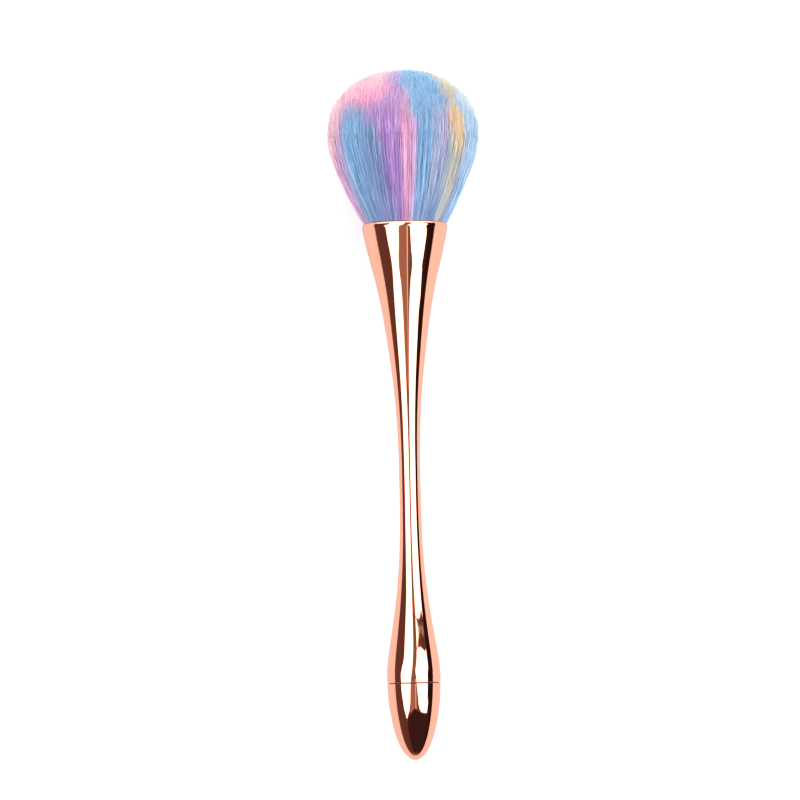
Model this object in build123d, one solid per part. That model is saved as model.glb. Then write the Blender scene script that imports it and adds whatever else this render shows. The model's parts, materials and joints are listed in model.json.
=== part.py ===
"""Powder brush for nails: a slim-waisted plated handle, a bulb-ended tail and a full round tuft of dyed hair.

The brush lies on a table, as it rests by itself, on the side of its tail cap and on the belly of its tuft.
+Y runs along the brush towards the tuft, +Z is up, and the origin is the middle of its outline on the table.
Each piece is first turned about the brush's own axis, which is Z with zero at the tip of the tail, and is
then laid down. Lengths are in millimetres and angles in degrees.
"""

import os
from math import acos, atan, cos, degrees, hypot, radians, sin, sqrt

from build123d import *

# Places along the brush's axis, from the tip of the tail
SEAM_Z = 18.4
BULB_Z = 20.0
WAIST_START_Z = 63.0
WAIST_END_Z = 71.0
SOCKET_FLOOR_Z = 112.0
POTTING_TOP_Z = 121.0
MOUTH_Z = 128.5
BELLY_Z = 149.0
SHOULDER_Z = 157.8
TOP_Z = 165.1

# Outer radii
BULB_R = 6.4
WAIST_R = 2.58
MOUTH_R = 10.25
BELLY_R = 17.6
SHOULDER_R = 15.7

# Handle: the tail end is cored out, and the mouth is a tapered socket
CORE_R = 2.0
CORE_END_Z = 44.0
CHAMBER_R = 3.9
CHAMBER_END_Z = 33.0
COUNTERBORE_R = 4.95
COUNTERBORE_END_Z = 26.1
SOCKET_FLOOR_R = 5.6
SOCKET_MOUTH_R = 9.6
LIP_LENGTH = 0.9
LIP_DEPTH = 0.4
MOUTH_FLARE = 0.2
SEAM_GAP = 0.28
SEAM_DEPTH = 0.3
SEAM_FIT = 0.04
SEAM_EDGE = 0.05

# Tail cap: a bullet with a spigot, hollow to hold the weight
SPIGOT_R = 4.9
SPIGOT_END_Z = 26.0
CAVITY_FLOOR_Z = 7.4
CAP_GLUE_START_Z = 19.6
CAP_GLUE_END_Z = 21.6
CAP_GLUE_DEPTH = 0.3

# Weight, on a bed of glue
SLUG_R = 3.8
SLUG_START_Z = 8.6
SLUG_END_Z = 32.6
SLUG_EDGE = 0.4

# Hair root: fibres bound with thread, set in resin and glued into the socket
SOCKET_GLUE_T = 0.35
SOCKET_GLUE_END_Z = 119.5
BINDING_R = 0.25
BINDING_TURNS = 3
BINDING_START_Z = 116.0
BINDING_PITCH = 0.54
BINDING_GROOVE_R = 5.7
FIT_GAP = 0.03

# Tuft: an outer ring of dyed locks round a core of dyed locks, which fan out from the socket
HAIR_GAP = 0.15
HAIR_CORE_ROOT_R = 5.0
RING_LOCKS = {  # angles from the top of the lying brush, positive to the right, at each lock's two edges
    "lock_pink_left": (-120, -64),
    "lock_blue_front_left": (-64, -21),
    "lock_violet_front": (-21, -2),
    "lock_pink_front": (-2, 8),
    "lock_blue_front_right": (8, 27),
    "lock_lilac_right": (27, 40),
    "lock_yellow_right": (40, 59),
    "lock_blue_right": (59, 105),
    "lock_pink_rear_right": (105, 155),
    "lock_purple_rear": (155, 205),
    "lock_blue_rear_left": (205, 240),
}
CORE_LOCKS = {
    "core_pink_left": (-150, -25),
    "core_purple": (-25, 0),
    "core_blue": (0, 75),
    "core_rear": (75, 210),
}

# Rest on the table: the tilt at which the tail cap touches it while the tuft's belly is pressed a little flat
REST_TILT = 4.62
TOUCH = 0.01
UNDER_TABLE = 60.0


def at(radius, z):
    """Point of a section, which is drawn in the XZ plane."""
    return Vector(radius, 0, z)


def path(*points):
    return Polyline(*[at(radius, z) for radius, z in points])


def curve(points, start, end):
    """Smooth line through points, with the directions in which it starts and ends."""
    return Spline(*[at(radius, z) for radius, z in points], tangents=[at(*start), at(*end)])


def turned(*lines, start=0, arc=360):
    """Solid that a closed section makes when it turns about the brush's axis."""
    edges = [edge for line in lines for edge in line.edges()]
    section = Face(Wire(edges)).rotate(Axis.Z, start)
    return revolve(section, Axis.Z, arc)


def ring(inner, outer, low, high):
    """Plain ring or, with no inner radius, disc."""
    return turned(path((inner, low), (outer, low), (outer, high), (inner, high), (inner, low)))


def cap_radius(z):
    """Radius of the tail's half ellipsoid, which ends at the bulb's widest place."""
    return BULB_R * sqrt(1 - (1 - z / BULB_Z) ** 2)


def socket_radius(z):
    share = (z - SOCKET_FLOOR_Z) / (MOUTH_Z - SOCKET_FLOOR_Z)
    return SOCKET_FLOOR_R + share * (SOCKET_MOUTH_R - SOCKET_FLOOR_R)


def handle_shell():
    seam = SEAM_Z + SEAM_GAP / 2
    seam_r = cap_radius(seam + SEAM_EDGE)
    tail_outline = curve(
        [
            (seam_r, seam + SEAM_EDGE),
            (BULB_R, BULB_Z),
            (5.6, 27.3),
            (4.3, 35.4),
            (3.06, 46.9),
            (WAIST_R, WAIST_START_Z),
        ],
        start=(0.1, 1),
        end=(0, 1),
    )
    flare = atan(MOUTH_FLARE * LIP_LENGTH / LIP_DEPTH)
    crest_r = MOUTH_R - LIP_DEPTH
    widest_z = MOUTH_Z - LIP_LENGTH
    lip_start = (crest_r + LIP_DEPTH * cos(flare), widest_z - LIP_LENGTH * sin(flare))
    mouth_outline = curve(
        [(WAIST_R, WAIST_END_Z), (3.3, 87.2), (4.9, 100.9), (7.15, 114.0), (9.36, 123.1), lip_start],
        start=(0, 1),
        end=(MOUTH_FLARE, 1),
    )
    lip = curve([lip_start, (MOUTH_R, widest_z), (crest_r, MOUTH_Z)], start=(MOUTH_FLARE, 1), end=(-1, 0))
    inner_r = crest_r - SOCKET_MOUTH_R
    inner_z = MOUTH_Z - inner_r
    middle = inner_r * sqrt(0.5)
    inner_lip = ThreePointArc(
        at(crest_r, MOUTH_Z), at(crest_r - middle, inner_z + middle), at(SOCKET_MOUTH_R, inner_z)
    )
    inside = path(
        (SOCKET_MOUTH_R, inner_z),
        (SOCKET_FLOOR_R, SOCKET_FLOOR_Z),
        (0, SOCKET_FLOOR_Z),
        (0, CORE_END_Z),
        (CORE_R, CORE_END_Z),
        (CORE_R, CHAMBER_END_Z),
        (CHAMBER_R, CHAMBER_END_Z),
        (CHAMBER_R, COUNTERBORE_END_Z),
        (COUNTERBORE_R, COUNTERBORE_END_Z),
        (COUNTERBORE_R, seam),
        (seam_r - SEAM_EDGE, seam),
        (seam_r, seam + SEAM_EDGE),
    )
    waist = path((WAIST_R, WAIST_START_Z), (WAIST_R, WAIST_END_Z))
    return turned(tail_outline, waist, mouth_outline, lip, inner_lip, inside)


def tail_cap():
    seam = SEAM_Z - SEAM_GAP / 2
    edge_z = seam - SEAM_EDGE
    edge_r = cap_radius(edge_z)
    tip_first = Plane(origin=(0, 0, BULB_Z), x_dir=(0, 0, -1), z_dir=(0, -1, 0))
    edge_angle = degrees(acos(1 - edge_z / BULB_Z))
    bullet = Edge.make_ellipse(BULB_Z, BULB_R, tip_first, start_angle=0, end_angle=edge_angle)
    shoulder_z = seam + SEAM_GAP - SEAM_FIT
    groove_r = SPIGOT_R - CAP_GLUE_DEPTH
    inside = path(
        (edge_r, edge_z),
        (edge_r - SEAM_EDGE, seam),
        (edge_r - SEAM_DEPTH, seam),
        (edge_r - SEAM_DEPTH, shoulder_z),
        (SPIGOT_R, shoulder_z),
        (SPIGOT_R, CAP_GLUE_START_Z),
        (groove_r, CAP_GLUE_START_Z),
        (groove_r, CAP_GLUE_END_Z),
        (SPIGOT_R, CAP_GLUE_END_Z),
        (SPIGOT_R, SPIGOT_END_Z),
        (CHAMBER_R, SPIGOT_END_Z),
        (CHAMBER_R, CAVITY_FLOOR_Z),
        (0, CAVITY_FLOOR_Z),
        (0, 0),
    )
    return turned(bullet, inside)


def ballast_slug():
    slug = ring(0, SLUG_R, SLUG_START_Z, SLUG_END_Z)
    return chamfer(slug.edges().filter_by(GeomType.CIRCLE), SLUG_EDGE)


def socket_glue():
    """Bed of resin between the socket and the hair's root plug, open at the top like a cup."""
    floor_top = SOCKET_FLOOR_Z + SOCKET_GLUE_T
    top_r = socket_radius(SOCKET_GLUE_END_Z) - FIT_GAP
    return turned(
        path(
            (0, SOCKET_FLOOR_Z),
            (SOCKET_FLOOR_R - FIT_GAP, SOCKET_FLOOR_Z),
            (top_r, SOCKET_GLUE_END_Z),
            (top_r - SOCKET_GLUE_T, SOCKET_GLUE_END_Z),
            (plug_radius(floor_top) + FIT_GAP, floor_top),
            (0, floor_top),
            (0, SOCKET_FLOOR_Z),
        )
    )


def plug_radius(z):
    return socket_radius(z) - SOCKET_GLUE_T - 2 * FIT_GAP


def potted_root():
    low = SOCKET_FLOOR_Z + SOCKET_GLUE_T
    groove_end = BINDING_START_Z + BINDING_TURNS * BINDING_PITCH
    return turned(
        path(
            (0, low),
            (plug_radius(low), low),
            (plug_radius(BINDING_START_Z), BINDING_START_Z),
            (BINDING_GROOVE_R, BINDING_START_Z),
            (BINDING_GROOVE_R, groove_end),
            (plug_radius(groove_end), groove_end),
            (plug_radius(POTTING_TOP_Z), POTTING_TOP_Z),
            (0, POTTING_TOP_Z),
            (0, low),
        )
    )


def root_binding():
    """Turns of thread that hold the fibres' roots together."""
    loop_r = BINDING_GROOVE_R + BINDING_R + FIT_GAP
    places = [BINDING_START_Z + (turn + 0.5) * BINDING_PITCH for turn in range(BINDING_TURNS)]
    return Compound([Pos(0, 0, z) * Solid.make_torus(loop_r, BINDING_R) for z in places])


def ring_lock(start, end):
    """Lock of the outer ring, from the root plug over the lip to its tips at the tuft's shoulder."""
    root_r = socket_radius(POTTING_TOP_Z) - HAIR_GAP
    mouth_r = SOCKET_MOUTH_R - HAIR_GAP
    side = curve(
        [(mouth_r, MOUTH_Z), (12.2, 133.2), (16.7, 144.9), (BELLY_R, BELLY_Z), (SHOULDER_R, SHOULDER_Z)],
        start=(0.8, 1),
        end=(-0.5, 1),
    )
    root = path(
        (SHOULDER_R, SHOULDER_Z),
        (HAIR_CORE_ROOT_R, POTTING_TOP_Z),
        (root_r, POTTING_TOP_Z),
        (mouth_r, MOUTH_Z),
    )
    return turned(side, root, start=start - 90, arc=end - start)


def core_lock(start, end):
    """Lock of the core, whose tips make the domed end of the tuft."""
    dome = curve(
        [(SHOULDER_R, SHOULDER_Z), (10.3, 163.4), (0, TOP_Z)],
        start=(-0.5, 1),
        end=(-1, 0),
    )
    root = path((0, TOP_Z), (0, POTTING_TOP_Z), (HAIR_CORE_ROOT_R, POTTING_TOP_Z), (SHOULDER_R, SHOULDER_Z))
    return turned(dome, root, start=start - 90, arc=end - start)


def upright_pieces():
    pieces = {
        "handle_shell": handle_shell(),
        "tail_cap": tail_cap(),
        "cap_glue_ring": ring(
            SPIGOT_R - CAP_GLUE_DEPTH + FIT_GAP, COUNTERBORE_R, CAP_GLUE_START_Z, CAP_GLUE_END_Z
        ),
        "ballast_slug": ballast_slug(),
        "slug_glue": ring(0, SLUG_R, CAVITY_FLOOR_Z, SLUG_START_Z),
        "socket_glue": socket_glue(),
        "potted_root": potted_root(),
        "root_binding": root_binding(),
    }
    pieces.update({name: ring_lock(*edges) for name, edges in RING_LOCKS.items()})
    pieces.update({name: core_lock(*edges) for name, edges in CORE_LOCKS.items()})
    return pieces


def laid_down(pieces):
    """Lays the brush on the table and presses the belly of the tuft flat where it rests."""
    tilt = radians(REST_TILT)
    tail_support = hypot(BULB_Z * sin(tilt), BULB_R * cos(tilt))
    lying = {name: Rot(X=REST_TILT - 90) * piece for name, piece in pieces.items()}
    middle = Compound(list(lying.values())).bounding_box().center()
    onto_table = Pos(-middle.X, -middle.Y, tail_support - BULB_Z * sin(tilt))
    placed = {name: onto_table * piece for name, piece in lying.items()}
    below = (Align.CENTER, Align.CENTER, Align.MAX)
    under_table = Box(UNDER_TABLE, UNDER_TABLE, UNDER_TABLE, align=below)
    for name, piece in placed.items():
        low = piece.bounding_box().min
        if low.Z < -TOUCH:
            print(name, "is pressed flat by", round(-low.Z, 2), "mm")
            placed[name] = piece - Pos(0, piece.center().Y, 0) * under_table
    print("tip of the tail at Y", round(-middle.Y, 3), "Z", round(tail_support - BULB_Z * sin(tilt), 3))
    return placed


os.makedirs("parts", exist_ok=True)
for name, piece in laid_down(upright_pieces()).items():
    export_step(piece, f"parts/{name}.step")
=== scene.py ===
"""Powder brush for nails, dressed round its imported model: plated handle, dyed tuft and a small studio.

Pieces are shaped about the brush's own axis, which is Z from the tip of the tail, with the top of the lying
brush towards -Y, and are then laid down in the model's frame. Lengths are in metres.
"""

import json
from math import acos, atan, cos, pi, radians, sin, sqrt, tan

import bmesh
import bpy
import numpy as np
from mathutils import Matrix, Vector


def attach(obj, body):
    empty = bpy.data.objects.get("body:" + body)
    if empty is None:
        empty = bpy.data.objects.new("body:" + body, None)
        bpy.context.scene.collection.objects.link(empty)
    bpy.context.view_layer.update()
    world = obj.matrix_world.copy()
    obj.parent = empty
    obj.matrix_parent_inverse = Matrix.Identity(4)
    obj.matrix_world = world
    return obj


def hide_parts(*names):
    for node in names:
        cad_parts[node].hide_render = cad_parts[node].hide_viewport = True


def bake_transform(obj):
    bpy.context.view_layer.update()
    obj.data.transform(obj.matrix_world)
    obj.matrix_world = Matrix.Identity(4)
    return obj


bl_info = {
    "name": "Nail Powder Brush",
    "version": (1, 0, 0),
    "blender": (4, 5, 0),
    "location": "View3D > Sidebar > Nail Brush",
    "description": "Builds the plated handle, dyed tuft and studio round a powder brush's packed model",
    "category": "Object",
}

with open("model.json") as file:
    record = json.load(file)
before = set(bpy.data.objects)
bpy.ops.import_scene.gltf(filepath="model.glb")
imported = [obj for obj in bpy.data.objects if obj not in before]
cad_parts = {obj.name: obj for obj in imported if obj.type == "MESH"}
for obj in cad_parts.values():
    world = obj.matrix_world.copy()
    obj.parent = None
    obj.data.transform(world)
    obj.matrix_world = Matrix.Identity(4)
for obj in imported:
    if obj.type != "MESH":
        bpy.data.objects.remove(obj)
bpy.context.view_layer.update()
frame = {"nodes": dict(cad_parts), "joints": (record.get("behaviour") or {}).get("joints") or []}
MM = 0.001

# Places along the brush's axis
CAVITY_FLOOR_Z = 7.4 * MM
SEAM_Z = 18.4 * MM
BULB_Z = 20.0 * MM
SPIGOT_END_Z = 26.0 * MM
COUNTERBORE_END_Z = 26.1 * MM
CHAMBER_END_Z = 33.0 * MM
CORE_END_Z = 44.0 * MM
SOCKET_FLOOR_Z = 112.0 * MM
HAIR_START_Z = 122.0 * MM
MOUTH_Z = 128.5 * MM
PIVOT_Z = 134.5 * MM
BELLY_Z = 149.0 * MM
TOP_Z = 165.1 * MM
DYE_LENGTH = 46.0 * MM

# Radii inside the handle and its cap
CORE_R = 2.0 * MM
CHAMBER_R = 3.9 * MM
SPIGOT_R = 4.9 * MM
COUNTERBORE_R = 4.95 * MM
SOCKET_FLOOR_R = 5.6 * MM
SOCKET_MOUTH_R = 9.6 * MM
SEAM_GAP = 0.28 * MM
SEAM_DEPTH = 0.3 * MM
SEAM_FIT = 0.04 * MM
SEAM_EDGE = 0.05 * MM
LIP_LENGTH = 0.9 * MM
LIP_DEPTH = 0.4 * MM
MOUTH_FLARE = 0.2

SOFTBOX_DISTANCE = 0.6
TURN_STEPS = 160
TINT_ROWS = 128
BAKE_MAP = "OFBake"


def laid_down():
    """Matrix that carries a piece from the brush's own axis to its place on the table."""
    joint = frame["joints"][0]
    up = Vector(joint["axis"]).normalized()
    along = Vector((1, 0, 0)).cross(-up).normalized()
    tip = Vector(joint["pos_m"]) - PIVOT_Z * along
    turned = Matrix((Vector((1, 0, 0)), -up, along)).transposed().to_4x4()
    return Matrix.Translation(tip) @ turned


LAY = laid_down()


def place(z, sideways=0.0, upward=0.0):
    """Point in the model's frame at z along the brush, and off its axis to the right and upwards."""
    return LAY @ Vector((sideways, -upward, z))


# Shader nodes


class Signal:
    """Output of a shader node, which takes part in arithmetic."""

    def __init__(self, tree, socket):
        self.tree = tree
        self.socket = socket

    def _maths(self, operation, first, second=0.0):
        node = add_node(self.tree, "ShaderNodeMath", {"operation": operation}, {0: first, 1: second})
        return node["Value"]

    def __add__(self, other):
        return self._maths("ADD", self, other)

    def __radd__(self, other):
        return self._maths("ADD", other, self)

    def __sub__(self, other):
        return self._maths("SUBTRACT", self, other)

    def __rsub__(self, other):
        return self._maths("SUBTRACT", other, self)

    def __mul__(self, other):
        return self._maths("MULTIPLY", self, other)

    def __rmul__(self, other):
        return self._maths("MULTIPLY", other, self)

    def __pow__(self, other):
        return self._maths("POWER", self, other)

    def __gt__(self, other):
        return self._maths("GREATER_THAN", self, other)

    def __lt__(self, other):
        return self._maths("LESS_THAN", self, other)

    def floor(self):
        return self._maths("FLOOR", self)


class Made:
    """A node just added, whose outputs are read by name."""

    def __init__(self, tree, node):
        self.tree = tree
        self.node = node

    def __getitem__(self, name):
        return Signal(self.tree, self.node.outputs[name])


def add_node(tree, kind, settings=None, inputs=None, stops=None):
    """Adds a node: its settings come first, then a ramp's stops, then values or links for its inputs."""
    node = tree.nodes.new(kind)
    for name, value in (settings or {}).items():
        setattr(node, name, value)
    if stops:
        elements = node.color_ramp.elements
        while len(elements) < len(stops):
            elements.new(0.5)
        for element, (position, colour) in zip(elements, stops):
            element.position = position
            element.color = colour
    for name, value in (inputs or {}).items():
        if isinstance(value, Signal):
            tree.links.new(value.socket, node.inputs[name])
        else:
            node.inputs[name].default_value = value
    return Made(tree, node)


def blank_material(name):
    """Material with an empty tree and its output node."""
    material = bpy.data.materials.new(name)
    material.use_nodes = True
    material.node_tree.nodes.clear()
    return material, material.node_tree


def end_in_principled(tree, inputs):
    surface = add_node(tree, "ShaderNodeBsdfPrincipled", inputs=inputs)["BSDF"]
    add_node(tree, "ShaderNodeOutputMaterial", inputs={"Surface": surface})


def object_noise(tree, scale, detail=3.0, roughness=0.5, stretch=(1, 1, 1)):
    """Noise between 0 and 1 on the piece's own place in the model, squeezed along the axes by stretch."""
    where = add_node(tree, "ShaderNodeTexCoord")["Object"]
    where = add_node(tree, "ShaderNodeMapping", inputs={"Vector": where, "Scale": stretch})["Vector"]
    inputs = {"Vector": where, "Scale": scale, "Detail": detail, "Roughness": roughness}
    return add_node(tree, "ShaderNodeTexNoise", inputs=inputs)["Fac"]


def row_noise(tree, row):
    """One value between 0 and 1 for each row."""
    return add_node(tree, "ShaderNodeTexWhiteNoise", {"noise_dimensions": "1D"}, {"W": row})["Value"]


def ranged(tree, value, low, high, kind="LINEAR"):
    """Goes from 0 to 1 while a value goes from low to high."""
    inputs = {"Value": value, "From Min": low, "From Max": high}
    return add_node(tree, "ShaderNodeMapRange", {"interpolation_type": kind}, inputs)["Result"]


def bumped(tree, height, distance=1.0, strength=1.0):
    """Normal of a surface that a height raises, by a distance where the height is 1."""
    inputs = {"Strength": strength, "Distance": distance, "Height": height}
    return add_node(tree, "ShaderNodeBump", inputs=inputs)["Normal"]


def mixed(tree, share, first, second):
    """Colour that goes from first to second as share goes from 0 to 1."""
    node = tree.nodes.new("ShaderNodeMix")
    node.data_type = "RGBA"
    for socket, value in ((node.inputs[0], share), (node.inputs[6], first), (node.inputs[7], second)):
        if isinstance(value, Signal):
            tree.links.new(value.socket, socket)
        else:
            socket.default_value = value
    return Signal(tree, node.outputs[2])


def solid(colour):
    return (*colour, 1.0)


# Finishes


def plating_finish(settings):
    """Rose-gold mirror plating: a slightly wavy surface with faint smudges and fine wipe marks."""
    wave_height = 9e-6
    grain_height = 2e-7
    material, tree = blank_material("rose_gold_plating")
    smudged = ranged(tree, object_noise(tree, 90, detail=4, roughness=0.6), 0.55, 0.75)
    wipes = object_noise(tree, 900, detail=2, stretch=(1.0, 0.08, 1.0))
    base = mixed(tree, smudged * 0.35, solid(settings.plating), solid(settings.plating_worn))
    waviness = object_noise(tree, 170, detail=1.0)
    grain = object_noise(tree, 1400, detail=2.0)
    bump = bumped(tree, waviness * wave_height + grain * grain_height)
    end_in_principled(
        tree,
        {
            "Base Color": base,
            "Metallic": 1.0,
            "Roughness": 0.02 + smudged * 0.05 + wipes * 0.015,
            "Normal": bump,
        },
    )
    return material


def slug_finish():
    """Turned steel: fine rings along the weight and a slight grey bloom."""
    material, tree = blank_material("turned_steel")
    rings = object_noise(tree, 60, detail=2, stretch=(0.2, 60.0, 0.2))
    bloom = object_noise(tree, 200)
    bump = bumped(tree, rings, distance=0.01 * MM, strength=0.3)
    tone = mixed(tree, bloom, (0.42, 0.42, 0.43, 1), (0.58, 0.58, 0.59, 1))
    end_in_principled(
        tree, {"Base Color": tone, "Metallic": 1.0, "Roughness": 0.25 + rings * 0.2, "Normal": bump}
    )
    return material


def resin_finish(name, thin, thick, roughness):
    """Cured resin, cloudier in places, with a slightly uneven surface."""
    material, tree = blank_material(name)
    clouds = object_noise(tree, 400, detail=4)
    bump = bumped(tree, clouds, distance=0.04 * MM, strength=0.4)
    tone = mixed(tree, clouds, thin, thick)
    end_in_principled(tree, {"Base Color": tone, "Roughness": roughness + clouds * 0.15, "Normal": bump})
    return material


def thread_finish():
    """Twisted thread: slanting strands, with painted shade darkening the grooves between them."""
    material, tree = blank_material("binding_thread")
    strands = object_noise(tree, 2500, detail=1, stretch=(1.0, 0.35, 1.0))
    bump = bumped(tree, strands, distance=0.05 * MM, strength=0.8)
    # Painted shade: the tone is darker where the strands' noise is low, in the bumped-in grooves
    tone = mixed(tree, strands, (0.52, 0.50, 0.46, 1), (0.88, 0.87, 0.84, 1))
    end_in_principled(tree, {"Base Color": tone, "Roughness": 0.85, "Normal": bump})
    return material


def recess_shade_finish():
    """Near-black brown on the faces inside the outer surface, inside the socket, the tail and the seam:
    painted shade of these recesses, on bare moulding where the plating doesn't reach.
    """
    material, tree = blank_material("recess_painted_shade")
    mottle = object_noise(tree, 500, detail=3)
    bump = bumped(tree, mottle, distance=0.02 * MM, strength=0.3)
    # Painted shade: the near-black brown stands in for the shade inside the seam gap and the hollows
    tone = mixed(tree, mottle, (0.045, 0.022, 0.017, 1), (0.07, 0.034, 0.026, 1))
    end_in_principled(tree, {"Base Color": tone, "Roughness": 0.6, "Normal": bump})
    return material


def hair_finish(name, start, end, columns):
    """Dyed fibre, read from the piece's map: u is the place along the brush and each row of v is one angle.

    Columns give the dyes along the brush at some angles between start and end, and the dyes run into each
    other between them. Each row is darkened towards a blue-grey painted shade by its own random amount and
    in painted dark streaks along the fibres, and some rows get a painted highlight towards white: partly
    random tone of the fibres, partly painted light and shade between them. The painted shade fades at the
    tips, which are whitened a little as painted light for the less lit dome.
    """
    dye_raggedness, row_painted_shade, streak_painted_shade, row_painted_highlight, tip_painted_light = 0.045, 0.42, 0.16, 0.12, 0.06
    material, tree = blank_material(name)
    where = add_node(tree, "ShaderNodeUVMap", {"uv_map": BAKE_MAP})["UV"]
    parts = add_node(tree, "ShaderNodeSeparateXYZ", inputs={"Vector": where})
    row = (parts["Y"] * TINT_ROWS).floor() + 0.5
    angle = row * ((end - start) / TINT_ROWS) + start
    tint = row_noise(tree, row)
    along = parts["X"] + (row_noise(tree, row + 300.0) - 0.5) * dye_raggedness
    dyed = None
    for column_angle, stops in columns.items():
        dyes = [((z * MM - HAIR_START_Z) / DYE_LENGTH, solid(DYES[dye])) for z, dye in stops.items()]
        ramp = add_node(tree, "ShaderNodeValToRGB", inputs={"Fac": along}, stops=dyes)["Color"]
        if dyed is None:
            dyed = ramp
        else:
            dyed = mixed(tree, ranged(tree, angle, last_angle, column_angle, "SMOOTHSTEP"), dyed, ramp)
        last_angle = column_angle
    streaks = add_node(tree, "ShaderNodeCombineXYZ", inputs={"X": parts["X"] * 45.0, "Y": row * 3.7})
    inputs = {"Vector": streaks["Vector"]}
    painted_streak_noise = add_node(tree, "ShaderNodeTexNoise", {"noise_dimensions": "2D"}, inputs)["Fac"]
    tips = ranged(tree, parts["X"], 0.58, 0.8)
    # Painted shade: rows darkened towards the blue-grey shade by their own random amount, and dark streaks
    # along the fibres, both fading out at the tips
    shaded = ((1.0 - tint) ** 2 * row_painted_shade + (painted_streak_noise < 0.45) * streak_painted_shade) * (1.0 - tips * 0.95)
    darker = mixed(tree, shaded, dyed, solid(DYES["shade"]))
    # Painted highlight on some rows, and painted light whitening the tips of the dome, which the lights reach
    # less
    lighter = mixed(tree, (tint > 0.7) * row_painted_highlight + tips * tip_painted_light, darker, (1.0, 1.0, 1.0, 1.0))
    end_in_principled(
        tree,
        {
            "Base Color": lighter,
            "Roughness": 0.5,
            "Sheen Weight": 0.3,
            "Sheen Roughness": 0.4,
            "Specular IOR Level": 0.35,
        },
    )
    return material


def srgb(red, green, blue):
    """Linear colour of a screen colour given in 0 to 255."""
    return tuple((value / 255) ** 2.2 for value in (red, green, blue))


# Shapes


def smooth_through(points):
    """Function that runs smoothly through points, with a steady curvature and free ends."""
    xs, ys = np.array(points, float).T
    gaps = np.diff(xs)
    slopes = np.diff(ys) / gaps
    count = len(xs)
    system = np.eye(count)
    bends = np.zeros(count)
    for i in range(1, count - 1):
        system[i, i - 1 : i + 2] = gaps[i - 1], 2 * (gaps[i - 1] + gaps[i]), gaps[i]
        bends[i] = 6 * (slopes[i] - slopes[i - 1])
    bends = np.linalg.solve(system, bends)

    def at(x):
        x = np.asarray(x, float)
        i = np.clip(np.searchsorted(xs, x) - 1, 0, count - 2)
        gap = gaps[i]
        before, after = xs[i + 1] - x, x - xs[i]
        cubic = (bends[i] * before**3 + bends[i + 1] * after**3) / (6 * gap)
        falling = (ys[i] / gap - bends[i] * gap / 6) * before
        rising = (ys[i + 1] / gap - bends[i + 1] * gap / 6) * after
        return cubic + falling + rising

    return at


def spun(name, outline, outer_radius, finishes):
    """Closed shell spun round the brush's axis from an outline of (z, radius), laid down in its place.

    Faces that lie inside the outer radius take the second of the two finishes.
    """
    bm = bmesh.new()
    points = [bm.verts.new((radius, 0, z)) for z, radius in outline]
    edges = [bm.edges.new(pair) for pair in zip(points, points[1:])]
    bmesh.ops.spin(
        bm,
        geom=points + edges,
        cent=(0, 0, 0),
        axis=(0, 0, 1),
        angle=2 * pi,
        steps=TURN_STEPS,
        use_merge=True,
    )
    bmesh.ops.remove_doubles(bm, verts=bm.verts, dist=1e-7)
    bmesh.ops.recalc_face_normals(bm, faces=bm.faces)
    for face in bm.faces:
        x, y, z = face.calc_center_median()
        face.material_index = int(sqrt(x * x + y * y) < outer_radius(z) - SEAM_EDGE)
    bmesh.ops.transform(bm, matrix=LAY, verts=bm.verts)
    mesh = bpy.data.meshes.new(name)
    bm.to_mesh(mesh)
    bm.free()
    mesh.shade_smooth()
    mesh.set_sharp_from_angle(angle=radians(28))
    for finish in finishes:
        mesh.materials.append(finish)
    return new_object(name, mesh)


def new_object(name, mesh):
    piece = bpy.data.objects.new(name, mesh)
    bpy.context.scene.collection.objects.link(piece)
    return piece


def fitted(piece, slot, body, *nodes):
    """Lets a piece ride on a body in place of its plain nodes. The slot is not used."""
    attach(piece, body)
    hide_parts(*nodes)


def bulb_radius_at(z, bulb_radius):
    """Radius of the tail's half ellipsoid."""
    return bulb_radius * sqrt(1 - (1 - z / BULB_Z) ** 2)


def handle_outline(settings):
    """Outline of the handle from the end of its tail core, round the outside and the lip, into the socket.

    The second value is the radius of the outer surface at a place along the brush.
    """
    seam = SEAM_Z + SEAM_GAP / 2
    seam_r = bulb_radius_at(seam + SEAM_EDGE, settings.bulb_radius)
    waist = settings.waist_radius
    crest_r = settings.mouth_radius - LIP_DEPTH
    outer_z = MOUTH_Z - LIP_LENGTH
    flare = atan(MOUTH_FLARE * LIP_LENGTH / LIP_DEPTH)
    lip = [
        (outer_z + LIP_LENGTH * sin(angle), crest_r + LIP_DEPTH * cos(angle))
        for angle in np.linspace(-flare, pi / 2, 16)
    ]
    inner_r = crest_r - SOCKET_MOUTH_R
    lip += [
        (MOUTH_Z - inner_r + inner_r * sin(angle), crest_r + inner_r * cos(angle))
        for angle in np.linspace(pi / 2, pi, 8)[1:]
    ]
    side = smooth_through(
        [
            (seam + SEAM_EDGE, seam_r),
            (BULB_Z, settings.bulb_radius),
            (27.3 * MM, 5.6 * MM),
            (35.4 * MM, 4.3 * MM),
            (46.9 * MM, 3.06 * MM),
            (60.0 * MM, waist + 0.03 * MM),
            (67.0 * MM, waist),
            (74.0 * MM, waist + 0.06 * MM),
            (87.2 * MM, 3.3 * MM),
            (100.9 * MM, 4.9 * MM),
            (114.0 * MM, 7.15 * MM),
            (123.1 * MM, 9.36 * MM),
            lip[0],
        ]
    )
    places = np.linspace(seam + SEAM_EDGE, lip[0][0], 180)
    tail = [
        (CORE_END_Z, 0),
        (CORE_END_Z, CORE_R),
        (CHAMBER_END_Z, CORE_R),
        (CHAMBER_END_Z, CHAMBER_R),
        (COUNTERBORE_END_Z, CHAMBER_R),
        (COUNTERBORE_END_Z, COUNTERBORE_R),
        (seam, COUNTERBORE_R),
        (seam, seam_r - SEAM_EDGE),
    ]
    socket = [(SOCKET_FLOOR_Z, SOCKET_FLOOR_R), (SOCKET_FLOOR_Z, 0)]
    outline = tail + list(zip(places, side(places))) + lip[1:] + socket
    return outline, lambda z: side(z) if z < lip[0][0] else SOCKET_MOUTH_R


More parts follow.
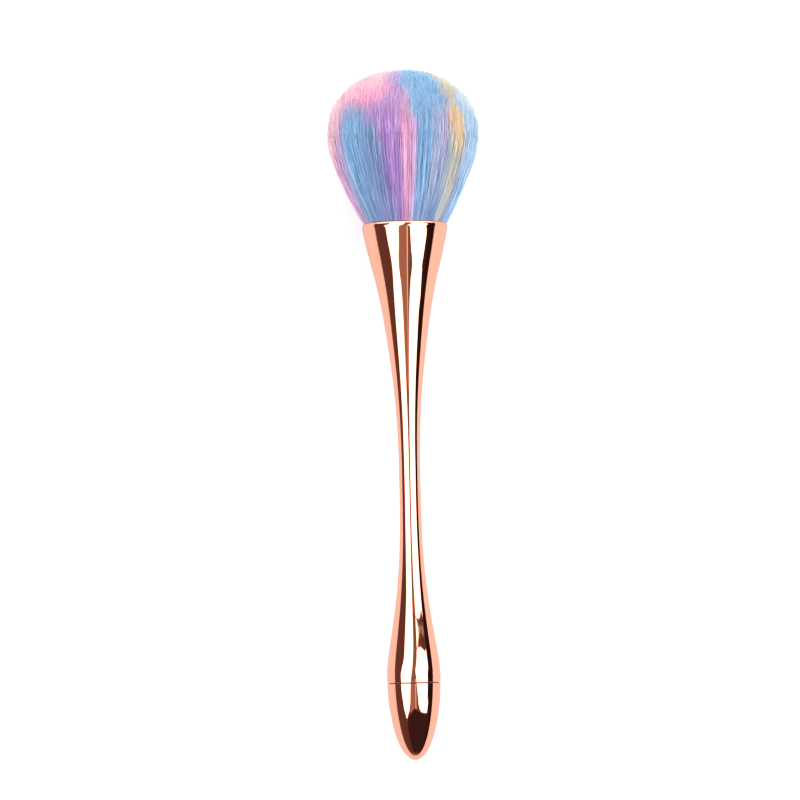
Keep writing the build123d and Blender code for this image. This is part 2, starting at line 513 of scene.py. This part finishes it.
def cap_outline(settings):
    """Outline of the tail cap from its cavity's floor, over the spigot and down the bullet to the tip.

    The second value is the radius of the outer surface at a place along the brush.
    """
    seam = SEAM_Z - SEAM_GAP / 2
    edge_z = seam - SEAM_EDGE
    edge_r = bulb_radius_at(edge_z, settings.bulb_radius)
    spigot = [
        (CAVITY_FLOOR_Z, 0),
        (CAVITY_FLOOR_Z, CHAMBER_R),
        (SPIGOT_END_Z, CHAMBER_R),
        (SPIGOT_END_Z, SPIGOT_R),
        (seam + SEAM_GAP - SEAM_FIT, SPIGOT_R),
        (seam + SEAM_GAP - SEAM_FIT, edge_r - SEAM_DEPTH),
        (seam, edge_r - SEAM_DEPTH),
        (seam, edge_r - SEAM_EDGE),
    ]
    last_angle = acos(1 - edge_z / BULB_Z)
    bullet = [
        (BULB_Z * (1 - cos(angle)), settings.bulb_radius * sin(angle))
        for angle in np.linspace(last_angle, 0, 60)
    ]
    return spigot + bullet, lambda z: bulb_radius_at(z, settings.bulb_radius)


# Hair

FRONT = -pi / 2
HAIR_STEPS = (0.0, 0.2, 0.36, 0.52, 0.7, 0.88, 1.0)
HAIR_WIDTHS = (1.0, 1.0, 1.0, 1.0, 1.0, 0.95, 0.5)

side_radius = smooth_through(
    [
        (HAIR_START_Z, 7.5 * MM),
        (MOUTH_Z, 9.3 * MM),
        (133.2 * MM, 12.1 * MM),
        (138.5 * MM, 14.4 * MM),
        (144.9 * MM, 16.7 * MM),
        (BELLY_Z, 17.5 * MM),
        (153.0 * MM, 17.6 * MM),
        (158.0 * MM, 17.3 * MM),
        (166.0 * MM, 16.6 * MM),
    ]
)


def dome_height(share):
    """Place along the brush where fibres end, for a share of the tuft's radius from 0 to 1."""
    fullness = 2.45
    return BELLY_Z + (TOP_Z - BELLY_Z) * (1 - np.clip(share, 0, 1) ** fullness) ** (1 / fullness)


def hair_template():
    """One fibre of unit radius and length: a three-sided taper with closed ends. Gives places and faces."""
    bm = bmesh.new()
    bmesh.ops.create_cone(bm, cap_ends=True, segments=3, radius1=1, radius2=1, depth=1)
    uprights = [edge for edge in bm.edges if abs(edge.verts[0].co.z - edge.verts[1].co.z) > 0.5]
    bmesh.ops.subdivide_edges(bm, edges=uprights, cuts=len(HAIR_STEPS) - 2, use_grid_fill=True)
    bmesh.ops.translate(bm, vec=(0, 0, 0.5), verts=bm.verts)
    bm.verts.index_update()
    places = np.array([vert.co for vert in bm.verts])
    faces = [[vert.index for vert in face.verts] for face in bm.faces]
    bm.free()
    return places, faces


def hair_paths(roots, draw, sizes, length_change):
    """Points and cross directions of fibres that fan out from the socket, for each step along them."""
    share, angle = roots
    steps = np.array(HAIR_STEPS)[None, :]
    tip_z = dome_height(share) + length_change
    z = HAIR_START_Z + (tip_z - HAIR_START_Z)[:, None] * steps
    radius = share[:, None] * side_radius(z)
    bow = draw.normal(0, sizes.wander, (len(share), 2))[:, :, None] * np.sin(pi * steps)[:, None, :]
    sway = draw.normal(0, sizes.wander, (len(share), 2))[:, :, None] * np.sin(2 * pi * steps)[:, None, :]
    drift = draw.normal(0, sizes.tip_scatter, (len(share), 2))[:, :, None] * (steps**2)[:, None, :]
    radius = radius + (bow + sway + drift)[:, 0]
    aside = (bow + sway + drift)[:, 1]
    outward = np.stack([np.cos(angle), np.sin(angle), 0 * angle], -1)[:, None, :]
    across = np.stack([-np.sin(angle), np.cos(angle), 0 * angle], -1)[:, None, :]
    axis = np.array([0, 0, 1.0])
    line = radius[..., None] * outward + aside[..., None] * across + z[..., None] * axis
    ahead = np.gradient(line, axis=1)
    ahead /= np.linalg.norm(ahead, axis=2, keepdims=True)
    first = np.cross(np.broadcast_to(across, ahead.shape), ahead)
    first /= np.linalg.norm(first, axis=2, keepdims=True)
    return line, first, np.cross(ahead, first)


def scattered_roots(draw, count, start, end, inner, outer, sizes):
    """Fibres' shares of the radius and angles, gathered in small wisps between two angles and two shares."""
    wisps = max(1, int(count / sizes.wisp_size))
    along = draw.random(wisps)
    wisp_angle = start + (end - start) * along
    low, high = inner(along), outer(along)
    wisp_share = np.sqrt(low**2 + (high**2 - low**2) * draw.random(wisps))
    member = draw.integers(0, wisps, count)
    spread = sizes.wisp_spread / side_radius(BELLY_Z)
    share = wisp_share[member] + draw.normal(0, spread, count)
    share = np.clip(np.abs(share), 0.01, 1.012)
    angle = wisp_angle[member] + draw.normal(0, spread, count) / np.maximum(share, 0.15)
    return share, angle


def hair_mesh(name, count, start, end, inner, outer, seed, sizes):
    """Mesh of a lock's fibres, with a map that holds the place along the fibre and the fibre's tint row."""
    draw = np.random.default_rng(seed)
    roots = scattered_roots(draw, count, start, end, inner, outer, sizes)
    length_change = draw.normal(0, sizes.length_scatter, count)
    stray = draw.random(count) < sizes.stray_share
    length_change = np.where(stray, np.abs(length_change) * 2, length_change)
    line, first, second = hair_paths(roots, draw, sizes, length_change)
    places, faces = hair_template()
    ring = np.rint(places[:, 2] * (len(HAIR_STEPS) - 1)).astype(int)
    turn = draw.random(count) * 2 * pi
    cosine, sine = np.cos(turn)[:, None], np.sin(turn)[:, None]
    x = places[None, :, 0] * cosine - places[None, :, 1] * sine
    y = places[None, :, 0] * sine + places[None, :, 1] * cosine
    thickness = sizes.fibre_radius * draw.uniform(0.75, 1.25, count)
    width = np.array(HAIR_WIDTHS)[ring][None, :] * thickness[:, None]
    across = x[..., None] * first[:, ring] + y[..., None] * second[:, ring]
    points = (line[:, ring] + width[..., None] * across).reshape(-1, 3)
    points = points @ np.array(LAY.to_3x3()).T + np.array(LAY.translation)
    points[:, 2] = pressed_on_table(points[:, 2])
    offsets = np.arange(count) * len(places)
    corners = [np.array(face)[None, :] + offsets[:, None] for face in faces]
    mesh = bpy.data.meshes.new(name)
    mesh.from_pydata(points.tolist(), [], [corner for block in corners for corner in block.tolist()])
    place_round = (roots[1] - start) / (end - start) * TINT_ROWS + draw.normal(0, 3.5, count)
    row = (np.clip(np.floor(place_round), 0, TINT_ROWS - 1) + 0.5) / TINT_ROWS
    u = np.clip((line[:, ring, 2] - HAIR_START_Z) / DYE_LENGTH, 0.01, 0.99).ravel()
    v = np.repeat(row, len(places)) + np.tile(places[:, 0], count) * 0.35 / TINT_ROWS
    vertex = np.zeros(len(mesh.loops), np.int32)
    mesh.loops.foreach_get("vertex_index", vertex)
    mesh.uv_layers.new(name=BAKE_MAP).data.foreach_set("uv", np.stack([u[vertex], v[vertex]], -1).ravel())
    mesh.shade_smooth()
    return mesh


def pressed_on_table(height):
    """Heights of hair above the table, where the belly of the tuft gives way and spreads on it."""
    lowest, free = -0.9 * MM, 0.7 * MM
    squeezed = 0.03 * MM + np.clip((height - lowest) / (free - lowest), 0, 1) * (free - 0.03 * MM)
    return np.where(height < free, squeezed, height)


DYES = {
    "blush": srgb(253, 212, 224),
    "peach": srgb(255, 195, 209),
    "hot_pink": srgb(255, 163, 205),
    "pink": srgb(236, 164, 203),
    "pink_lilac": srgb(220, 174, 214),
    "rose": srgb(212, 148, 190),
    "mauve": srgb(200, 148, 210),
    "violet": srgb(178, 128, 200),
    "lilac": srgb(192, 178, 223),
    "periwinkle": srgb(128, 140, 192),
    "slate": srgb(112, 147, 190),
    "sky": srgb(118, 170, 212),
    "blue": srgb(118, 179, 223),
    "light_blue": srgb(138, 194, 234),
    "pale_blue": srgb(174, 209, 236),
    "mist": srgb(214, 231, 241),
    "grey_lilac": srgb(160, 174, 206),
    "grey_green": srgb(160, 182, 190),
    "sand": srgb(196, 192, 172),
    "yellow": srgb(243, 208, 148),
    "apricot": srgb(242, 197, 168),
    # Not a dye: the blue-grey towards which hair_finish darkens fibres as painted shade
    "shade": srgb(95, 95, 150),
}

# Each outer lock's edges, in degrees to the right of the top of the lying brush; how far in towards the
# brush's axis it reaches at each edge, as a share of the tuft's radius; and its columns of dyes, by angle, as
# the dye at places along the brush in millimetres.
RING_LOCKS = {
    "lock_pink_left": (
        (-120, -64),
        (0.88, 0.93),
        {
            -120: {130: "pink", 150: "peach"},
            # In the -78 and -66 columns the peach comes in early, at 147-148 mm: painted light, dye made
            # paler where the tuft's edge catches back light
            -78: {130: "rose", 140: "pink", 147: "peach", 156: "blush"},
            -66: {130: "pink_lilac", 144: "pink_lilac", 148: "peach", 155: "blush"},
        },
    ),
    "lock_blue_front_left": (
        (-64, -21),
        (0.93, 0.88),
        {
            -64: {130: "grey_lilac", 140: "lilac", 147: "pink_lilac", 151: "pink", 155: "peach"},
            -50: {130: "slate", 137: "sky", 153: "blue", 155.5: "lilac", 158: "pink", 160: "peach"},
            -38: {130: "slate", 147: "sky", 154: "sky", 156: "rose", 158: "hot_pink", 160: "peach"},
            -26: {
                130: "periwinkle",
                142: "slate",
                150: "slate",
                153: "violet",
                155.5: "mauve",
                157: "hot_pink",
            },
        },
    ),
    "lock_violet_front": (
        (-21, -2),
        (0.88, 0.88),
        {
            -20: {130: "periwinkle", 145: "periwinkle", 150: "violet", 156: "mauve", 158: "hot_pink"},
            -12: {130: "periwinkle", 138: "violet", 154: "violet", 158: "mauve"},
            -4: {130: "violet", 142: "violet", 152: "mauve", 158: "mauve"},
        },
    ),
    "lock_pink_front": (
        (-2, 8),
        (0.82, 0.82),
        {
            -1: {130: "rose", 137: "pink", 148: "pink", 154: "rose", 159: "mauve"},
            3: {130: "rose", 137: "pink", 153: "pink", 157: "pink_lilac", 160.5: "blue"},
            8: {130: "rose", 137: "pink", 151: "pink", 157: "lilac", 161: "blue"},
        },
    ),
    "lock_blue_front_right": (
        (8, 27),
        (0.88, 0.88),
        {
            9: {130: "lilac", 137: "pink_lilac", 150: "pink_lilac", 155: "blue"},
            14: {130: "slate", 137: "sky", 153: "sky", 156: "blue", 164: "blue"},
            21: {130: "slate", 137: "sky", 153: "sky", 156: "blue", 164: "blue"},
            27: {130: "grey_lilac", 152: "grey_lilac", 157: "blue"},
        },
    ),
    "lock_lilac_right": (
        (27, 40),
        (0.88, 0.88),
        {
            28: {130: "slate", 138: "grey_lilac", 153: "grey_lilac", 158: "blue"},
            35: {130: "slate", 138: "grey_lilac", 151: "lilac", 157: "blue"},
            40: {
                130: "slate",
                138: "grey_green",
                144: "grey_green",
                149: "sand",
                153: "apricot",
                157: "grey_lilac",
            },
        },
    ),
    "lock_yellow_right": (
        (40, 59),
        (0.9, 0.9),
        {
            41: {
                130: "slate",
                138: "grey_green",
                142: "grey_green",
                149: "sand",
                153: "apricot",
                157: "grey_lilac",
            },
            47: {130: "grey_green", 139: "sand", 144: "sand", 148: "yellow", 155: "yellow", 158: "sand"},
            54: {130: "sand", 143: "sand", 147: "yellow", 152.5: "yellow", 155.5: "pale_blue"},
            59: {130: "grey_green", 140: "pale_blue", 155: "pale_blue"},
        },
    ),
    "lock_blue_right": (
        (59, 105),
        (0.88, 0.88),
        {
            60: {130: "grey_lilac", 140: "pale_blue", 154: "pale_blue", 158: "mist"},
            75: {130: "light_blue", 140: "pale_blue", 151: "pale_blue", 157: "mist"},
            105: {130: "sky", 140: "light_blue"},
        },
    ),
    "lock_pink_rear_right": (
        (105, 155),
        (0.88, 0.88),
        {
            105: {130: "sky", 145: "lilac", 155: "lilac"},
            118: {130: "rose", 142: "pink", 155: "peach"},
            155: {130: "rose", 142: "hot_pink", 155: "mauve"},
        },
    ),
    "lock_purple_rear": (
        (155, 205),
        (0.88, 0.88),
        {
            155: {130: "violet", 142: "mauve", 155: "mauve"},
            180: {130: "violet", 150: "violet", 158: "mauve"},
            205: {130: "periwinkle", 145: "violet", 155: "lilac"},
        },
    ),
    "lock_blue_rear_left": (
        (205, 240),
        (0.88, 0.88),
        {
            206: {130: "slate", 145: "periwinkle", 155: "lilac"},
            220: {130: "slate", 145: "sky", 157: "blue"},
            240: {130: "slate", 145: "sky", 152: "lilac", 157: "pink"},
        },
    ),
}
CORE_LOCKS = {
    "core_pink_left": (
        (-150, -25),
        {
            -150: {130: "rose", 155: "pink", 163: "peach"},
            -60: {130: "pink", 156: "peach", 163: "peach", 167: "blush"},
            -32: {130: "pink", 155: "hot_pink", 158: "hot_pink", 161: "peach", 167: "blush"},
        },
    ),
    "core_purple": (
        (-25, 0),
        {
            -24: {130: "violet", 154: "mauve", 158: "hot_pink", 162: "peach", 165: "lilac"},
            -17: {130: "violet", 157: "mauve", 160: "hot_pink", 165: "lilac"},
            -8: {130: "violet", 155: "mauve", 161: "mauve", 164: "lilac"},
            0: {130: "violet", 156: "mauve", 159: "mauve", 161.5: "blue", 165: "lilac"},
        },
    ),
    "core_blue": (
        (0, 75),
        {
            1: {130: "sky", 156: "mauve", 159: "mauve", 161: "blue", 163: "light_blue"},
            4: {130: "sky", 156: "pink_lilac", 158: "pink_lilac", 160.5: "blue"},
            10: {130: "sky", 156: "blue", 159: "blue", 163: "blue", 167: "light_blue"},
            36: {130: "sky", 156: "blue", 161: "blue", 166: "light_blue"},
            47: {130: "sand", 156: "apricot", 160: "sand", 162: "pale_blue", 164: "light_blue"},
            56: {130: "sand", 156: "pale_blue", 159: "sand", 162: "yellow", 165: "sand"},
            75: {130: "sky", 152: "pale_blue", 158: "mist"},
        },
    ),
    "core_rear": (
        (75, 210),
        {
            75: {130: "sky", 152: "pale_blue", 158: "mist"},
            120: {130: "violet", 156: "lilac", 163: "peach"},
            165: {130: "violet", 157: "mauve", 163: "lilac"},
            210: {130: "rose", 157: "pink", 163: "peach"},
        },
    ),
}
SLOTS = {
    "pink": "hair_pink",
    "blue": "hair_blue",
    "violet": "hair_violet",
    "purple": "hair_violet",
    "lilac": "hair_lilac",
    "yellow": "hair_yellow",
    "rear": "hair_lilac",
}


def hair_slot(name):
    return SLOTS[name.split("_")[1]]


def ring_depth(degrees_round):
    """How far in the outer ring reaches at an angle, as a share of the tuft's radius."""
    turned = (np.asarray(degrees_round, float) + 120) % 360 - 120
    depth = np.full(turned.shape, 0.88)
    for (start, end), (inner_start, inner_end), _ in RING_LOCKS.values():
        inside = (turned >= start) & (turned < end)
        share = (turned - start) / (end - start)
        depth = np.where(inside, inner_start + (inner_end - inner_start) * share, depth)
    return depth


def make_lock(name, count, edges, inner, outer, columns, seed, sizes):
    mesh = hair_mesh(name, count, *(FRONT + radians(edge) for edge in edges), inner, outer, seed, sizes)
    # Each lock's material holds its dyes together with painted shade and painted light on its fibres
    mesh.materials.append(hair_finish(name + "_dye_and_painted_shade", *edges, columns))
    piece = new_object(name, mesh)
    hair_slot(name)
    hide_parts(name)
    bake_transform(piece)


# Settings


def length(name, description, default, low, high):
    return bpy.props.FloatProperty(
        name=name, description=description, default=default, min=low, max=high, precision=5, unit="LENGTH"
    )


def colour(name, description, default):
    return bpy.props.FloatVectorProperty(
        name=name, description=description, default=default, min=0, max=1, size=3, subtype="COLOR"
    )


class HandleSettings(bpy.types.PropertyGroup):
    waist_radius: length("Waist radius", "Radius of the handle at its waist", 2.58 * MM, 1.5 * MM, 4 * MM)
    bulb_radius: length("Bulb radius", "Radius of the handle at the seam's bulb", 6.4 * MM, 5.6 * MM, 8 * MM)
    mouth_radius: length("Mouth radius", "Outer radius of the handle's mouth", 10.25 * MM, 10 * MM, 12 * MM)
    plating: colour("Plating", "Colour of the rose-gold plating", (1.0, 0.42, 0.285))
    plating_worn: colour("Smudged plating", "Colour of the plating under smudges", (0.95, 0.41, 0.28))


class TuftSettings(bpy.types.PropertyGroup):
    fibre_radius: length("Fibre radius", "Radius of one fibre", 0.09 * MM, 0.03 * MM, 0.3 * MM)
    tip_scatter: length("Tip scatter", "How far fibres drift sideways at their tips", 0.3 * MM, 0, 2 * MM)
    length_scatter: length("Length scatter", "How unevenly the tips end", 0.32 * MM, 0, 2 * MM)
    wander: length("Wander", "How far fibres bow on their way", 0.16 * MM, 0, 1 * MM)
    wisp_spread: length("Wisp spread", "Width of a wisp of fibres", 0.3 * MM, 0, 2 * MM)
    wisp_size: bpy.props.FloatProperty(
        name="Wisp size", description="Fibres in a wisp", default=3, min=1, max=50
    )
    stray_share: bpy.props.FloatProperty(
        name="Stray share", description="Share of fibres that stand out", default=0.015, min=0, max=1
    )
    ring_fibres: bpy.props.IntProperty(
        name="Ring fibres", description="Fibres in the whole outer ring", default=16000, min=100, max=24000
    )
    core_fibres: bpy.props.IntProperty(
        name="Core fibres", description="Fibres in the whole core", default=14000, min=100, max=16000
    )
    seed: bpy.props.IntProperty(name="Seed", description="Start of the fibres' scatter", default=7, min=0)


class StageSettings(bpy.types.PropertyGroup):
    camera_distance: length("Camera distance", "Distance from the camera to the brush", 1.3, 0.3, 5)
    view_width: length("View width", "Width of the view at the brush", 0.1918, 0.05, 1)
    roll: bpy.props.FloatProperty(
        name="Roll",
        description="Turn of the camera about its own line of sight",
        default=radians(1.17),
        unit="ROTATION",
    )
    floor: colour("Floor", "Colour of the table", (0.56, 0.56, 0.565))
    floor_lift: colour("Floor lift", "Light that the eye sees in the table's shadows", (0.38, 0.38, 0.38))
    fill: colour("Fill", "Light that reaches matt surfaces from all round", (0.76, 0.76, 0.77))
    light_power: bpy.props.FloatProperty(
        name="Light power",
        description="Power of each softbox for each square metre",
        default=12,
        unit="POWER",
    )


class BrushSettings(bpy.types.PropertyGroup):
    handle: bpy.props.PointerProperty(type=HandleSettings, name="Handle", description="Sizes and plating")
    tuft: bpy.props.PointerProperty(type=TuftSettings, name="Tuft", description="Fibres of the tuft")
    stage: bpy.props.PointerProperty(type=StageSettings, name="Stage", description="Camera, lights and table")


# Operators


class NAILBRUSH_OT_handle(bpy.types.Operator):
    """Makes the plated handle, from the seam at the bulb to the lip of the mouth, and its tail cap"""

    bl_idname = "nailbrush.handle"
    bl_label = "Plated handle"

    def execute(self, context):
        settings = context.scene.nail_brush.handle
        # The second finish is painted shade for the faces inside the outer surface: the seam gap, the socket
        # and the tail's inside
        finishes = (plating_finish(settings), recess_shade_finish())
        shell = spun("handle_shell_plated", *handle_outline(settings), finishes)
        fitted(shell, "rose_gold_plating", "handle", "handle_shell")
        cap = spun("tail_cap_plated", *cap_outline(settings), finishes)
        fitted(cap, "rose_gold_plating", "handle", "tail_cap")
        return {"FINISHED"}


class NAILBRUSH_OT_inner_parts(bpy.types.Operator):
    """Gives the pieces inside the handle their finishes"""

    bl_idname = "nailbrush.inner_parts"
    bl_label = "Inner parts"

    def execute(self, context):
        clear = resin_finish("clear_glue", (0.72, 0.66, 0.5, 1), (0.86, 0.82, 0.7, 1), 0.15)
        root = resin_finish("root_resin", (0.34, 0.27, 0.24, 1), (0.5, 0.42, 0.4, 1), 0.35)
        finishes = {
            "ballast_slug": slug_finish(),
            "cap_glue_ring": clear,
            "slug_glue": clear,
            "socket_glue": clear,
            "potted_root": root,
            "root_binding": thread_finish(),
        }
        for node, material in finishes.items():
            for slot in frame["nodes"][node].material_slots:
                slot.material = material
        return {"FINISHED"}


class NAILBRUSH_OT_ring_locks(bpy.types.Operator):
    """Makes the dyed locks round the outside of the tuft"""

    bl_idname = "nailbrush.ring_locks"
    bl_label = "Outer locks"

    def execute(self, context):
        sizes = context.scene.nail_brush.tuft
        for number, (name, (edges, depths, columns)) in enumerate(RING_LOCKS.items()):
            start, end = edges
            inner_start, inner_end = depths
            count = int(sizes.ring_fibres * (end - start) / 360)

            def inner(share):
                return inner_start + (inner_end - inner_start) * share

            make_lock(name, count, edges, inner, np.ones_like, columns, sizes.seed + number, sizes)
        return {"FINISHED"}


class NAILBRUSH_OT_core_locks(bpy.types.Operator):
    """Makes the dyed locks of the core, whose tips are the domed end of the tuft"""

    bl_idname = "nailbrush.core_locks"
    bl_label = "Core locks"

    def execute(self, context):
        sizes = context.scene.nail_brush.tuft
        for number, (name, ((start, end), columns)) in enumerate(CORE_LOCKS.items()):
            count = int(sizes.core_fibres * (end - start) / 360)

            def outer(share):
                return ring_depth(start + (end - start) * share)

            seed = sizes.seed + 100 + number
            make_lock(name, count, (start, end), np.zeros_like, outer, columns, seed, sizes)
        return {"FINISHED"}


class NAILBRUSH_OT_stage(bpy.types.Operator):
    """Sets up the table, the softboxes, the surroundings and the camera"""

    bl_idname = "nailbrush.stage"
    bl_label = "Stage"

    def execute(self, context):
        settings = context.scene.nail_brush.stage
        make_table(settings)
        make_softbox("softbox_left", -37.0, 30.3, settings)
        make_softbox("softbox_right", 34.4, 43.5, settings)
        make_softbox("softbox_end", 0.0, 40.0, settings, tilt=50.0, share=0.3)
        for name, card in CARDS.items():
            make_card(name, *card)
        make_surroundings(context.scene, settings)
        make_camera(context.scene, settings)
        context.scene.view_settings.view_transform = "Standard"
        return {"FINISHED"}


# Cards round the brush as its mirror plating sees them: corners as (angle to the right of straight above,
# place along Y), their height, colour and strength
CARDS = {
    "card_left": (
        (
            (-41, -0.42),
            (-50, -0.36),
            (-54, -0.28),
            (-57, -0.22),
            (-57, -0.04),
            (-50, 0.05),
            (-43, 0.1),
            (-40, 0.4),
            (0, 0.4),
            (-1, 0.1),
            (-8, -0.04),
            (-16, -0.17),
            (-20, -0.26),
            (-25, -0.31),
        ),
        0.6,
        (1.0, 1.0, 0.98),
        3.7,
    ),
    "card_right": (
        (
            (57, -0.44),
            (28, -0.32),
            (20, -0.27),
            (17, -0.22),
            (12, -0.15),
            (7, -0.04),
            (17, 0.1),
            (18, 0.4),
            (60, 0.4),
            (65, 0.1),
            (61, -0.04),
            (61, -0.28),
            (62, -0.32),
            (65, -0.38),
            (62.5, -0.48),
        ),
        0.6,
        (1.0, 1.0, 0.98),
        3.7,
    ),
    "card_dark": (
        ((2, -0.28), (-22, -0.33), (-40, -0.44), (-40, -3), (75, -3), (75, -0.55), (57, -0.47), (27, -0.33)),
        0.595,
        (0.8, 0.45, 0.4),
        0.05,
    ),
    "card_ceiling": (((-25, -0.36), (5, -0.36), (5, -0.13), (-15, -0.13)), 0.605, (0.38, 0.28, 0.23), 1.0),
    "card_ceiling_edge": (((5, -0.36), (8.5, -0.36), (8, -0.12), (5.5, -0.12)), 0.6, (1.0, 0.85, 0.72), 1.3),
    "card_lamp_stand": (
        ((15, 0.09), (38, 0.13), (56, 0.185), (66, 0.31), (61, 0.275), (56, 0.225), (38, 0.148), (25, 0.114)),
        0.595,
        (0.8, 0.5, 0.45),
        0.12,
    ),
}


def make_table(settings):
    bm = bmesh.new()
    bmesh.ops.create_grid(bm, x_segments=8, y_segments=8, size=2.0)
    mesh = bpy.data.meshes.new("table")
    bm.to_mesh(mesh)
    bm.free()
    material, tree = blank_material("pale_table")
    mottle = object_noise(tree, 40, detail=5)
    shade = tuple(0.97 * value for value in settings.floor)
    seen = add_node(tree, "ShaderNodeLightPath")["Is Camera Ray"]
    values = {
        "Base Color": mixed(tree, mottle, solid(settings.floor), solid(shade)),
        "Roughness": 0.7,
        "Emission Color": mixed(tree, seen, (0, 0, 0, 1), solid(settings.floor_lift)),
        "Emission Strength": 1.0,
    }
    end_in_principled(tree, values)
    mesh.materials.append(material)
    new_object("table", mesh)


def make_softbox(name, angle, spread, settings, tilt=0.0, share=1.0):
    """Long softbox at an angle to the right of straight above, as wide as it spreads in degrees.

    The tilt carries it round towards the tuft's end, and it gives a share of the usual power.
    """
    light = bpy.data.lights.new(name, "AREA")
    light.shape = "RECTANGLE"
    light.size = 2 * SOFTBOX_DISTANCE * np.tan(radians(spread / 2))
    light.size_y = 0.66
    light.energy = share * settings.light_power * light.size * light.size_y
    piece = bpy.data.objects.new(name, light)
    bpy.context.scene.collection.objects.link(piece)
    turned = Matrix.Rotation(radians(-tilt), 4, "X") @ Matrix.Rotation(radians(angle), 4, "Y")
    piece.matrix_world = turned @ Matrix.Translation((0, 0, SOFTBOX_DISTANCE))
    piece.visible_glossy = False


def make_card(name, outline, height, colour, strength):
    """Flat card over the brush that only its mirror plating sees, from (angle, place along Y) corners."""
    bm = bmesh.new()
    corners = [bm.verts.new((height * tan(radians(angle)), y, height)) for angle, y in outline]
    bm.faces.new(corners)
    mesh = bpy.data.meshes.new(name)
    bm.to_mesh(mesh)
    bm.free()
    material, tree = blank_material(name)
    inputs = {"Color": solid(colour), "Strength": strength}
    glow = add_node(tree, "ShaderNodeEmission", inputs=inputs)["Emission"]
    add_node(tree, "ShaderNodeOutputMaterial", inputs={"Surface": glow})
    mesh.materials.append(material)
    card = new_object(name, mesh)
    card.visible_camera = False
    card.visible_diffuse = False
    card.visible_transmission = False
    card.visible_shadow = False


def make_surroundings(scene, settings):
    """Pale room for the eye, soft fill for matt surfaces and a dim warm room for the mirror plating."""
    world = bpy.data.worlds.new("studio")
    scene.world = world
    world.use_nodes = True
    tree = world.node_tree
    tree.nodes.clear()
    direction = add_node(tree, "ShaderNodeTexCoord")["Generated"]
    parts = add_node(tree, "ShaderNodeSeparateXYZ", inputs={"Vector": direction})
    stops = [
        (0.0, (0.13, 0.075, 0.065, 1)),
        (0.3, (0.1, 0.058, 0.05, 1)),
        (0.45, (0.26, 0.2, 0.18, 1)),
        (0.55, (0.26, 0.2, 0.18, 1)),
        (0.75, (0.03, 0.02, 0.017, 1)),
        (1.0, (0.02, 0.012, 0.01, 1)),
    ]
    room = add_node(tree, "ShaderNodeValToRGB", inputs={"Fac": parts["X"] * 0.5 + 0.5}, stops=stops)["Color"]
    far_end = ranged(tree, parts["Y"], 0.4, 0.5)
    room = mixed(tree, far_end, room, (2.6, 2.6, 2.6, 1))
    rays = add_node(tree, "ShaderNodeLightPath")
    fill = mixed(tree, rays["Is Glossy Ray"], solid(settings.fill), room)
    seen = mixed(tree, rays["Is Camera Ray"], fill, (0.93, 0.93, 0.94, 1))
    background = add_node(tree, "ShaderNodeBackground", inputs={"Color": seen, "Strength": 1.0})["Background"]
    add_node(tree, "ShaderNodeOutputWorld", inputs={"Surface": background})


def make_camera(scene, settings):
    """Camera straight above the seam, aimed at the middle of the brush, which leans a little in the view."""
    lens = bpy.data.cameras.new("camera")
    camera = bpy.data.objects.new("camera", lens)
    scene.collection.objects.link(camera)
    scene.camera = camera
    up = (LAY.to_3x3() @ Vector((0, -1, 0))).normalized()
    along = (LAY.to_3x3() @ Vector((0, 0, 1))).normalized()
    eye = place(SEAM_Z) + settings.camera_distance * up
    aim = place(86.2 * MM, sideways=-1.97 * MM)
    eye.x += aim.x
    back = (eye - aim).normalized()
    lean = along * cos(settings.roll) + Vector((1, 0, 0)) * sin(settings.roll)
    right = lean.cross(back).normalized()
    upright = back.cross(right)
    turned = Matrix((right, upright, back)).transposed().to_4x4()
    camera.matrix_world = Matrix.Translation(eye) @ turned
    lens.sensor_width = 36.0
    lens.lens = lens.sensor_width * (eye - aim).length / settings.view_width
    lens.clip_start = 0.01
    lens.clip_end = 20.0


class NAILBRUSH_PT_panel(bpy.types.Panel):
    """Lists the brush's settings and the steps that build it"""

    bl_idname = "NAILBRUSH_PT_panel"
    bl_label = "Nail Powder Brush"
    bl_space_type = "VIEW_3D"
    bl_region_type = "UI"
    bl_category = "Nail Brush"

    def draw(self, context):
        settings = context.scene.nail_brush
        for group in (settings.handle, settings.tuft, settings.stage):
            box = self.layout.box()
            for name in group.__annotations__:
                box.prop(group, name)
        for step in STEPS:
            self.layout.operator(step.bl_idname)


STEPS = (
    NAILBRUSH_OT_handle,
    NAILBRUSH_OT_inner_parts,
    NAILBRUSH_OT_ring_locks,
    NAILBRUSH_OT_core_locks,
    NAILBRUSH_OT_stage,
)
CLASSES = (HandleSettings, TuftSettings, StageSettings, BrushSettings, *STEPS, NAILBRUSH_PT_panel)


def register():
    for item in CLASSES:
        bpy.utils.register_class(item)
    bpy.types.Scene.nail_brush = bpy.props.PointerProperty(
        type=BrushSettings, name="Nail brush", description="Sizes, fibres and stage of the brush"
    )


def unregister():
    del bpy.types.Scene.nail_brush
    for item in reversed(CLASSES):
        bpy.utils.unregister_class(item)


def main():
    register()
    bpy.ops.nailbrush.handle()
    bpy.ops.nailbrush.inner_parts()
    bpy.ops.nailbrush.ring_locks()
    bpy.ops.nailbrush.core_locks()
    bpy.ops.nailbrush.stage()


if __name__ == "__main__":
    main()
